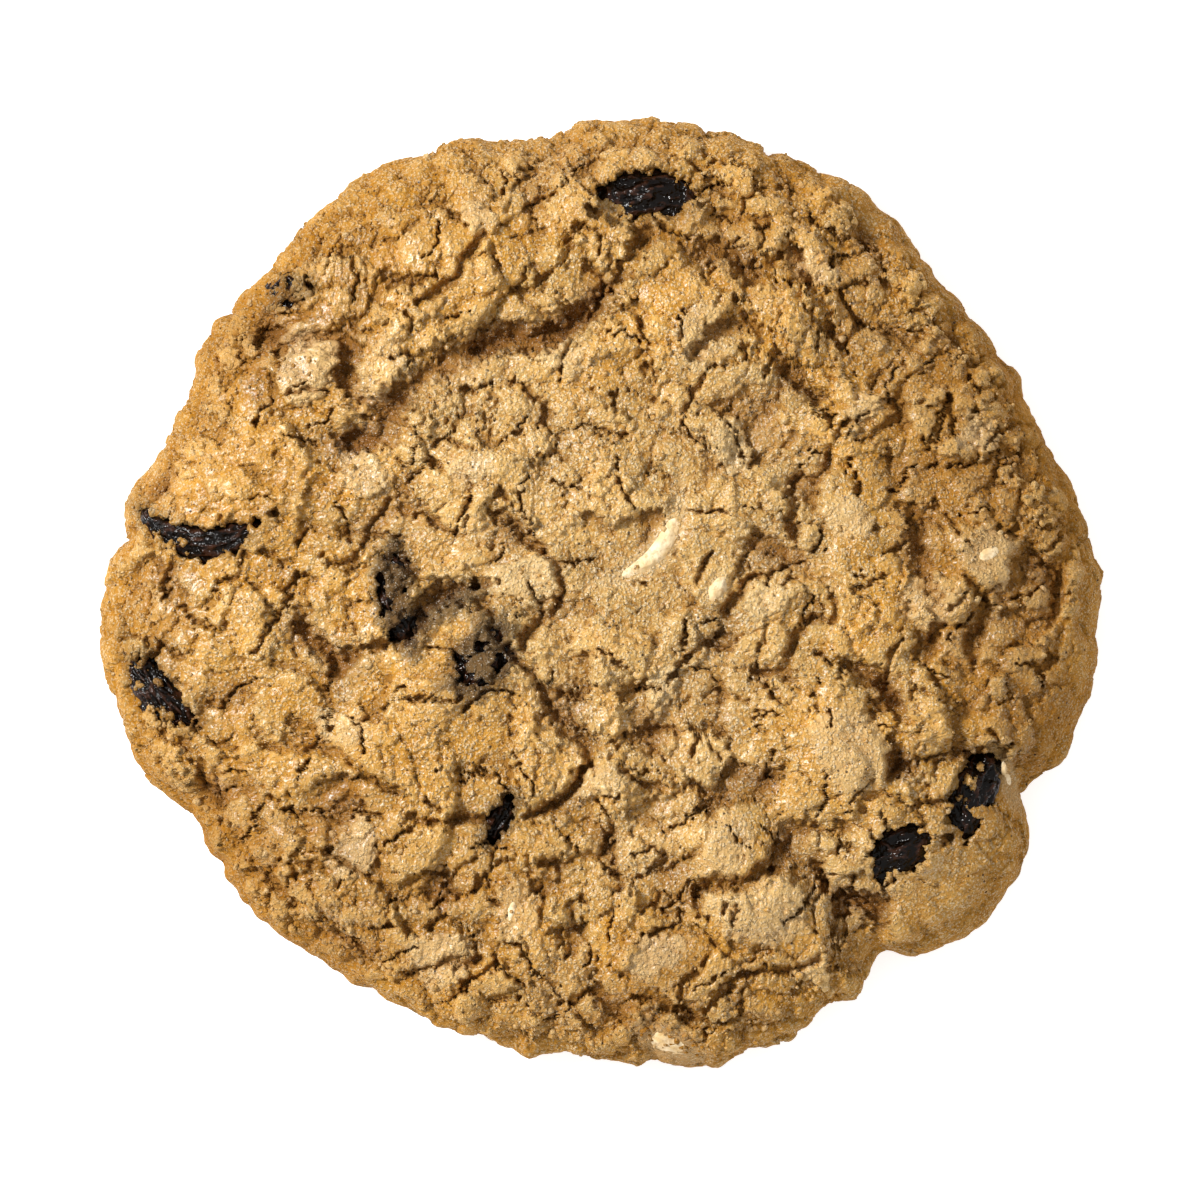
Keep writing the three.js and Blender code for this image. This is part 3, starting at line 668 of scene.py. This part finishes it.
def crustBase():  # places on the plain round, with share of the radius, direction and way out
    line = np.linspace(-1, 1, 2 * roundShape["steps"] + 1)
    square = np.stack(np.meshgrid(line, line), axis=-1).reshape(-1, 2)
    share, direction = discPlaces(square)
    radius = share * rimRadius(direction)
    base = np.column_stack([radius * np.cos(direction), radius * np.sin(direction), roundHeight(share)])
    lean = smoothStep(share, roundShape["leanStart"], 1)
    outward = np.column_stack([np.cos(direction) * lean, np.sin(direction) * lean, 1 - lean])
    return base, share, direction, outward / np.linalg.norm(outward, axis=1)[:, None]


def crustForm():
    look = doughLook
    base, share, direction, outward = crustBase()

    # the crust is fused granules, and whatever breaks it follows them
    granule, clumps = look["granule"], look["clumps"]
    gaps, draws, middles = cellsNear(base, granule["size"], layers["granule"])
    home = mixed(base, middles, granule["whole"])
    grit = granule["dome"] * domed(gaps, granule["size"]) + granule["lift"] * (draws[:, 0] - 0.5)
    grit += tilted(base, middles, draws[:, 0], granule["lean"])
    gaps, draws, middles = cellsNear(home, clumps["size"], layers["clumps"])
    clumped = clumps["dome"] * domed(gaps, clumps["size"])
    clumped += tilted(home, middles, draws[:, 0], clumps["lean"])
    broken = mixed(home, middles, clumps["whole"])

    # broken slabs and clefts wander, and cracks pass through granules
    flat = home[:, :2] / plateShape["warpSize"]
    wander = np.column_stack([unevenness(*flat.T, layer) for layer in layers["warp"]])
    wander *= plateShape["warpReach"]
    for order, (size, reach) in enumerate(look["tears"]):
        wander += np.column_stack([noiseField(home, size, 1 + 2 * order + way) for way in (0, 1)]) * reach
    torn = broken + np.column_stack([wander, 0 * share])
    split = mixed(torn, base + torn - broken, look["passing"]["cracks"])
    size, reach = look["crackTear"]
    split += np.column_stack([noiseField(base, size, layer) for layer in layers["crack"]]) * reach
    seam = mixed(torn, split, look["passing"]["seams"])

    # places that are calmer, and how wide the breaks stand open
    x, y = torn.T[:2]
    calm, craggy = zoneShare(x, y, "calm"), zoneShare(x, y, "craggy")
    lip = lipShare(share, direction)
    opens, gapes = look["open"], look["gape"]
    patches = smoothStep(noiseField(home, opens["size"], layers["open"]), *opens["levels"])
    openness = (1 - opens["calm"] * calm) * (1 - lip) * patches
    gape = gapes["middle"] + gapes["spread"] * noiseField(home, gapes["size"], layers["gape"])

    # large relief
    size, amount = look["cleftDepth"]
    furrow = deepest(x, y, clefts, gape) * (1 + amount * noiseField(home, size, layers["cleft"]))
    cracked = deepest(*split.T[:2], cracks + shortCracks(), gape + gapes["cracks"])
    furrow = np.maximum(furrow, cracked)
    oats = oatRelief(x, y)
    rate, limit = look["oatFlat"]["plates"]
    large = moundRelief(*base.T[:2]) - furrow
    large += plateRelief(*seam.T[:2], openness) * (1 - rate * np.clip(oats, 0, limit))
    large += lumpRelief(x, y)
    inner, outer = look["pitSides"]
    for at, span, depth in look["pits"]:
        large -= depth * fading(np.hypot(x - at[0], y - at[1]), inner * span, outer * span)
    opening, brim, stain = raisinOpenings(home)
    large += look["opening"]["brimHeight"] * brim

    # fine relief
    chunks, rubble, lipCalm = look["chunks"], look["rubble"], look["lipCalm"]
    gaps, draws, middles = cellsNear(seam, chunks["size"], layers["chunks"])
    least, more = chunks["open"]
    steps = chunks["lift"] * (draws * 2 - 1)
    fine = slabs(gaps, steps, draws.sum(axis=1) % 1, chunks, least + more * openness)
    rimBand = smoothStep(share, *look["rimBand"]) * (1 - lip)
    bulge = 1 - chunks["calm"] * calm + chunks["craggy"] * craggy + chunks["rim"] * rimBand
    fine += chunks["dome"] * domed(gaps, chunks["size"]) * bulge
    fine += tilted(seam, middles, draws[:, 0], chunks["lean"])
    crumbled = np.clip(furrow / rubble["depth"] + rubble["craggy"] * craggy, 0, 1)
    clumped *= mixed(1, rubble["most"], crumbled)
    rate, limit = look["oatFlat"]["fine"]
    fine = (fine + clumped) * (1 - np.clip(rate * np.abs(oats), 0, limit)) * (1 - lipCalm["fine"] * lip)
    size, height = look["uneven"]
    fine += height * noiseField(base, size, layers["rolling"])
    fine += oats + grit * (1 - lipCalm["grit"] * lip)

    # both together, with beds for bare flakes and holes over raisins
    largeFade = fading(share, roundShape["reliefFade"], 1)
    fineFade = mixed(look["wallGrain"], 1, largeFade)
    relief = large * largeFade * (1 - lipCalm["large"] * lip) + fine * fineFade
    rate, limit = look["oatFlat"]["pale"]
    shade = 0.5 + rate * np.clip(oats, 0, limit)
    for close, bed in flakeBeds(*base.T[:2]):
        level = np.average(relief[close], weights=bed)
        relief[close] = mixed(relief[close], level, flakeLook["bed"]["flat"] * bed)
        shade[close] = np.maximum(shade[close], 0.5 + flakeLook["bed"]["pale"] * bed)
    sunk = look["opening"]["floor"] * opening * largeFade

    # traits of the crust that its colour follows; hollow, cleft, ridge and raised also lay painted shade
    # and highlight on it
    browned = sum(amount * spot(x, y, at, span) for at, span, amount in look["browned"])
    spans, hues = look["spans"], look["hues"]
    side = 2 * roundShape["steps"] + 1
    near, wide, far = (blurred(relief.reshape(side, side), cells).ravel() for cells in look["means"])
    traits = {
        "grit": np.clip(0.45 + grit / spans["grit"], 0, 1),
        "hollow": np.clip((near - relief + 0.5 * grit) / spans["hollow"], 0, 1),
        "cleft": np.clip((wide - near) / spans["cleft"], 0, 1),
        "ridge": np.clip((relief - 0.5 * grit - near) / spans["ridge"], 0, 1),
        "raised": np.clip(0.5 + (near - far) / spans["raised"], 0, 1),
        "rim": share,
        "stain": stain,
        "shade": shade,
        "baked": np.clip(0.5 + 0.5 * browned, 0, 1),
        "broad": 0.5 + noiseField(base, hues["broad"], layers["broad"]),
        "patch": 0.5 + noiseField(base, hues["patch"], layers["patch"]),
        "rough": 1.0 + 0.5 * noiseField(base, hues["rough"], layers["rough"]),
    }
    points = base + outward * (relief - sunk)[:, None]
    return {"points": points, "outward": outward, "bare": opening + lip, "share": share, "traits": traits}


def makeQuarter(column, row):
    steps = roundShape["steps"]
    bm = bmesh.new()
    bmesh.ops.create_grid(bm, x_segments=steps, y_segments=steps, size=0.5)
    cells = np.rint((np.array([v.co[:2] for v in bm.verts]) + 0.5) * steps).astype(int)
    picked = (cells[:, 1] + row * steps) * (2 * steps + 1) + cells[:, 0] + column * steps
    share = crust["share"][picked]
    for vert, point in zip(bm.verts, (crust["points"][picked] * mm).tolist()):
        vert.co = point

    # down to the flat underside, which draws in from the widest line, and shut between quarters
    edges = [e for e in bm.edges if e.is_boundary]
    for edge in edges:
        edge.smooth = all(share[v.index] > rimShape["line"] for v in edge.verts)
    for height, inset in (roundShape["footRoll"], (0.0, roundShape["tuck"])):
        made = bmesh.ops.extrude_edge_only(bm, edges=edges)["geom"]
        edges = [e for e in made if isinstance(e, bmesh.types.BMEdge) and e.is_boundary]
        for vert in {v for e in edges for v in e.verts}:
            flat = math.hypot(vert.co.x, vert.co.y)
            scale = 1 - inset * mm * (flat > rimShape["inner"] * mm) / max(flat, mm)
            vert.co = (vert.co.x * scale, vert.co.y * scale, height * mm)
    bmesh.ops.contextual_create(bm, geom=edges)
    bmesh.ops.recalc_face_normals(bm, faces=bm.faces)
    mesh = meshFrom(bm, f"dough_crust_{1 + column + 2 * row}")
    extra = len(mesh.vertices) - len(picked)
    for trait, values in crust["traits"].items():
        below = np.full(extra, doughLook["underside"].get(trait, 0.0))
        setAttribute(mesh, trait, np.concatenate([values[picked], below]))
    addPiece(mesh, crustPaint, "dough")
    print(mesh.name, len(mesh.vertices), "vertices")


def crustFinish():
    finish = Finish("baked_crust")
    ramp, pores = finish.ramp, doughLook["pores"]
    grit, hollow, cleft, ridge, raised, rim, stain, shade, baked, broad, patch, rough = (
        finish.attribute(trait) for trait in crust["traits"]
    )  # in the order that crustForm gives them
    speck, hue = (finish.grain(*grain) for grain in doughLook["grains"].values())
    fine = 0.6 * ramp(finish.cells(pores["fine"], pores["torn"]), (0.1, 1), (0.6, 0)) + 0.7 * speck
    level = 0.25 * grit + 0.75 * (0.63 + (fine - 0.5) * rough)
    holes = ramp(patch + 0.4 * stain, (0.5, 0), (0.65, 1))
    holes = holes * ramp(finish.cells(pores["open"]), (0.1, 1), (0.17, 0))
    golden = ramp(rim * 0.3 + raised * 0.7 + broad * 0.2 + patch * 0.4, (0.6, 0), (0.95, 1))
    brown = ramp(rim * 0.8 + 0.16 * patch, (0.63, 0), (0.88, 0.62)) + ramp(baked, (0.5, 0), (0.9, 0.7))
    unbrowned = 1.0 - 0.6 * brown
    finish.feed("Base Color", finish.layered(
        doughLook["tones"], "plain",
        (golden, "golden"),
        (ramp(baked, (0.1, 0.8), (0.5, 0)), "pale"),
        (brown, "browned"),
        (ramp(rim, (0.9, 0), (0.985, 0.55)), "edge"),
        (ramp(hue, (0.35, 0.75), (0.5, 0)) * unbrowned, "warmGrain"),
        (ramp(hue, (0.5, 0), (0.65, 0.75)) * unbrowned, "greyGrain"),
        # painted shade and light: darker on low ground, lighter on raised ground
        (ramp(raised, (0.25, 0.35), (0.5, 0)), "low"),
        (ramp(raised, (0.5, 0), (0.75, 0.25)), "high"),
        # painted shade between granules and painted highlight on their tops, after the fine relief
        (ramp(level, (0.34, 0.8), (0.56, 0)), "grainShade"),
        (ramp(level, (0.6, 0), (0.86, 0.6)) * unbrowned, "grainHighlight"),
        (ramp(shade, (0, 0.7), (0.5, 0)), "darkCrumb"),
        (ramp(shade, (0.5, 0), (1, 0.7)), "paleCrumb"),
        # painted highlight on ridges, painted shade in hollows and clefts
        (ridge * 0.35, "ridge"),
        (ramp(hollow, (0.2, 0), (0.8, 0.8)), "hollow"),
        (ramp(cleft, (0.2, 0), (0.9, 0.75)), "cleft"),
        (stain * 0.85, "juice"),
        # painted shade in pores and small pits, and painted glints as white specks
        (holes * 0.9, "poreShade"),
        (ramp(speck, (0.3, 0.85), (0.38, 0)), "pitShade"),
        (ramp(speck, (0.605, 0), (0.69, 0.95)) * unbrowned, "paintedGlint"),
    ))
    dry = ramp(rim, (0.86, 1), (0.97, 0)) * ramp(hollow, (0.1, 1), (0.6, 0.1)) * (1.0 - stain)
    finish.feed("Coat Weight", ramp(speck, (0.42, 0.08), (0.56, 0.85)) * dry)
    for name, value in doughLook["gloss"].items():
        finish.feed(name, value)
    finish.bump(fine * rough, doughLook["bump"])
    return finish


crust = crustForm()
crustPaint = crustFinish()
for quarter in range(4):
    makeQuarter(quarter % 2, quarter // 2)


# bare oat flakes

def makeFlakes():
    bm = bmesh.new()
    points = crust["points"]
    thickness = flakeLook["thickness"]
    outlineSize, outlineReach = flakeLook["outline"]
    faceSize, faceReach = flakeLook["face"]
    edgeShares = []
    for order, (at, length, width, heading, bend, proud) in enumerate(flakeLook["bare"]):
        ball = bmesh.ops.create_icosphere(bm, subdivisions=flakeLook["fineness"], radius=1)["verts"]
        unit = np.array([v.co for v in ball])
        outline = 1 + outlineReach * noiseField(unit, outlineSize, order)
        along = unit[:, 0] * outline * length / 2
        aside = unit[:, 1] * outline * width / 2 + bend * unit[:, 0] ** 2
        turn = math.radians(heading)
        x = at[0] + along * math.cos(turn) - aside * math.sin(turn)
        y = at[1] + along * math.sin(turn) + aside * math.cos(turn)
        under = points[ovalShare(*points.T[:2], at, (length, width), heading, bend) < 1]
        seat = np.mean(under[:, 2] - plainHeight(*under.T[:2]))
        face = faceReach * noiseField(np.column_stack([x, y, 0 * x]), faceSize, layers["flakeFace"])
        z = plainHeight(x, y) + seat + proud - thickness / 2 + unit[:, 2] * thickness / 2 + face
        for vert, point in zip(ball, (np.column_stack([x, y, z]) * mm).tolist()):
            vert.co = point
        edgeShares.append(np.hypot(unit[:, 0], unit[:, 1]))
    mesh = meshFrom(bm, "oat_flakes")
    setAttribute(mesh, "edge", np.concatenate(edgeShares))
    print("oat flakes:", len(flakeLook["bare"]))
    return mesh


def oatFinish():
    finish = Finish("rolled_oat")
    speck, patch = (finish.grain(*grain) for grain in flakeLook["grains"].values())
    finish.feed("Base Color", finish.layered(
        flakeLook["tones"], "plain",
        (finish.ramp(patch, (0.4, 0), (0.7, 1)), "patch"),
        (finish.ramp(speck, (0.36, 0.5), (0.46, 0)), "speck"),
        (finish.ramp(finish.attribute("edge"), (0.86, 0), (0.97, 0.6)), "edge"),
    ))
    finish.feed("Roughness", flakeLook["roughness"])
    finish.bump(speck + 0.5 * finish.cells(flakeLook["cells"]), *flakeLook["bump"])
    return finish


addPiece(makeFlakes(), oatFinish(), "dough")


# raisins

raisinLook = {
    "thickness": 4.4, "fineness": 5, "furrows": 5, "furrowDepth": 0.1, "furrowTwist": 1.4,
    "wrinkle": 0.3, "wrinkleLevel": 0.2, "wrinkleStretch": (1.1, 2.2, 2.2),
    "wrinkles": [(0.55, 1.0, 0), (0.26, 0.5, 11)],  # size, share, layer
    "dent": 0.1, "dentSize": 0.9,
    "slopeStep": 0.5,  # how far each way the slope of the crust is taken
    # painted shade in the creases, near black, and painted light on the ridges, browner
    "tones": {"furrow": (9, 4, 2), "ridge": (64, 36, 22)},
    "gloss": 0.22, "roughness": (0.1, 0.14),  # roughness, and how much more of it under bloom
    "bloom": (1.4, 3.0), "creases": (1.5, 0.7), "bump": 0.8,
}


def makeRaisin(order, raisin):
    look = raisinLook
    bm = bmesh.new()
    ball = bmesh.ops.create_icosphere(bm, subdivisions=look["fineness"], radius=1)["verts"]
    unit = np.array([v.co for v in ball])
    x, y, z = unit.T
    around = (np.arctan2(z, y) + x * look["furrowTwist"]) * look["furrows"] + order
    furrow = look["furrowDepth"] * (0.5 + 0.5 * np.cos(around))
    stretched = unit * look["wrinkleStretch"]
    crinkle = sum(
        share * np.abs(noiseField(stretched, size, order + layer))
        for size, share, layer in look["wrinkles"]
    )
    dent = look["dent"] * noiseField(unit, look["dentSize"], order + layers["dent"])
    girth = 1 - furrow + look["wrinkle"] * (look["wrinkleLevel"] - crinkle) + dent
    local = np.column_stack([
        x * raisin["size"][0] / 2,
        y * raisin["size"][1] / 2 * girth + raisin["bend"] * x * x,
        z * look["thickness"] / 2 * girth,
    ])

    # laid along the slope of the crust, where its solid is
    low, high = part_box(f"raisin_{order + 1}")
    at, step = np.array(raisin["at"]), look["slopeStep"]
    slopes = []
    for way in ((step, 0), (0, step)):
        ends = [roundHeight(rimShare(*(at + sign * np.array(way)))) for sign in (1, -1)]
        slopes.append((ends[0] - ends[1]) / (2 * step))
    up = Vector((0, 0, 1))
    normal = Vector((-slopes[0], -slopes[1], 1)).normalized()
    turn = up.rotation_difference(normal) @ Quaternion(up, math.radians(raisin["heading"]))
    seat = Vector((at[0] * mm, at[1] * mm, (low.z + high.z) / 2 - raisin["sunk"] * mm))
    for vert, point in zip(ball, local.tolist()):
        vert.co = seat + turn @ Vector(point) * mm
    mesh = meshFrom(bm, f"raisin_skin_{order + 1}")
    setAttribute(mesh, "furrow", crinkle)
    return mesh


def raisinFinish():
    finish = Finish("raisin_skin")
    bloom = finish.grain(*raisinLook["bloom"])
    broad, narrow = (abs(finish.grain(size) - 0.5) for size in raisinLook["creases"])
    creases = broad + 0.5 * narrow
    # painted shade in the creases and painted light on the ridges
    ridges = finish.ramp(finish.attribute("furrow") + creases, (0.08, 1), (0.4, 0))
    finish.feed("Base Color", finish.layered(raisinLook["tones"], "furrow", (ridges, "ridge")))
    least, more = raisinLook["roughness"]
    finish.feed("Roughness", least + more * finish.ramp(bloom, (0.4, 0), (0.7, 1)))
    finish.feed("Specular IOR Level", raisinLook["gloss"])
    finish.bump(creases, raisinLook["bump"], invert=True)
    return finish


raisinPaint = raisinFinish()
for order, raisin in enumerate(raisins):
    addPiece(makeRaisin(order, raisin), raisinPaint, f"raisin_{order + 1}")
print("raisins:", len(raisins))


# crumbs and sugar grains on the crust

crumbLook = {
    "count": 3000, "radii": (0.14, 0.42), "band": (-1, 0.98), "sink": 0.3, "shades": (0.2, 0.85),
    "seed": 11,
}
rimCrumbLook = {
    "count": 2000, "radii": (0.18, 0.48), "band": (0.89, 0.965), "sink": 0.5, "shades": (0.25, 0.7),
    "seed": 17,
}
grainLook = {
    "count": 4500, "radii": (0.08, 0.15), "band": (-1, 0.98), "sink": 0.2, "shades": (0.5, 1.0), "seed": 23,
    "cube": 1.4,  # side, in radii
}
scatterLook = {
    "mostBare": 0.2,  # none where raisins or smooth rim show more
    "smallBias": 3,  # larger makes more of them small
    "knobs": (0.75, 1.25), "stretch": (0.6, 1.3), "jog": 0.08,
}


def scatterOnCrust(name, unit, corners, look):
    rng = np.random.default_rng(look["seed"])
    inner, outer = look["band"]
    clear = crust["bare"] < scatterLook["mostBare"]
    free = np.flatnonzero(clear & (crust["share"] > inner) & (crust["share"] < outer))
    chosen = rng.choice(free, look["count"], replace=False)
    low, high = look["radii"]
    radius = low + (high - low) * rng.random(len(chosen)) ** scatterLook["smallBias"]
    axes = rng.normal(size=(len(chosen), 4))
    axes /= np.linalg.norm(axes, axis=1)[:, None]
    turns = np.array([np.array(Quaternion(a).to_matrix()) for a in axes])
    knobbly = unit * rng.uniform(*scatterLook["knobs"], size=(len(chosen), len(unit), 1))
    stretch = rng.uniform(*scatterLook["stretch"], size=(len(chosen), 1, 3))
    stretched = knobbly * stretch * radius[:, None, None]
    jog = rng.normal(scale=scatterLook["jog"], size=(len(chosen), 3))
    middle = crust["points"][chosen] + jog - crust["outward"][chosen] * (radius * look["sink"])[:, None]
    points = np.einsum("nij,nkj->nki", turns, stretched) + middle[:, None, :]
    faces = corners[None] + len(unit) * np.arange(len(chosen))[:, None, None]
    mesh = bpy.data.meshes.new(name)
    places = (points.reshape(-1, 3) * mm).tolist()
    mesh.from_pydata(places, [], faces.reshape(-1, corners.shape[1]).tolist())
    for trait, values in crust["traits"].items():
        picked = rng.uniform(*look["shades"], len(chosen)) if trait == "shade" else values[chosen]
        setAttribute(mesh, trait, np.repeat(picked, len(unit)))
    addPiece(mesh, crustPaint, "dough")
    print(name, len(chosen))


def unitShape(create, **settings):
    bm = bmesh.new()
    create(bm, **settings)
    unit = np.array([v.co for v in bm.verts])
    corners = np.array([[v.index for v in f.verts] for f in bm.faces])
    bm.free()
    return unit, corners


crumbBall = unitShape(bmesh.ops.create_icosphere, subdivisions=1, radius=1)
scatterOnCrust("crust_crumbs", *crumbBall, crumbLook)
scatterOnCrust("rim_crumbs", *crumbBall, rimCrumbLook)
scatterOnCrust("sugar_grains", *unitShape(bmesh.ops.create_cube, size=grainLook["cube"]), grainLook)


# floor, light and camera

stageLook = {
    "frameWidth": 108.3, "lookAt": (0.0, -0.5), "distance": 800.0, "clip": (0.01, 20),
    "keyFrom": (-0.52, 0.2, 0.56), "keySize": 0.16, "keyPower": 8.6,
    "sky": 0.61, "floorSize": 4.0, "floorGlow": 0.7, "floorTone": 0.75, "floorRoughness": 0.9,
}
white = (1, 1, 1, 1)


def makeFloor():
    bm = bmesh.new()
    bmesh.ops.create_grid(bm, x_segments=1, y_segments=1, size=stageLook["floorSize"] / 2)
    mesh = meshFrom(bm, "floor")
    finish = Finish("pale_floor")
    finish.feed("Base Color", (*[stageLook["floorTone"]] * 3, 1))
    finish.feed("Roughness", stageLook["floorRoughness"])
    finish.feed("Emission Color", white)
    finish.feed("Emission Strength", stageLook["floorGlow"])
    mesh.materials.append(finish.material)
    floor = addObject("floor", mesh)


def makeLights():
    lamp = bpy.data.lights.new("key", "AREA")
    lamp.size, lamp.energy = stageLook["keySize"], stageLook["keyPower"]
    key = addObject("key", lamp)
    key.location = stageLook["keyFrom"]
    key.rotation_euler = (-Vector(stageLook["keyFrom"])).to_track_quat("-Z", "Y").to_euler()
    world = bpy.data.worlds.new("studio")
    world.use_nodes = True
    sky = world.node_tree.nodes["Background"].inputs
    sky["Color"].default_value = white
    sky["Strength"].default_value = stageLook["sky"]
    bpy.context.scene.world = world


def makeCamera():
    lens = bpy.data.cameras.new("camera")
    lens.lens = lens.sensor_width * stageLook["distance"] / stageLook["frameWidth"]
    lens.clip_start, lens.clip_end = stageLook["clip"]
    camera = addObject("camera", lens)
    camera.location = [v * mm for v in (*stageLook["lookAt"], stageLook["distance"])]
    bpy.context.scene.camera = camera


makeFloor()
makeLights()
makeCamera()
bpy.context.scene.view_settings.view_transform = "Standard"
print("stage set")
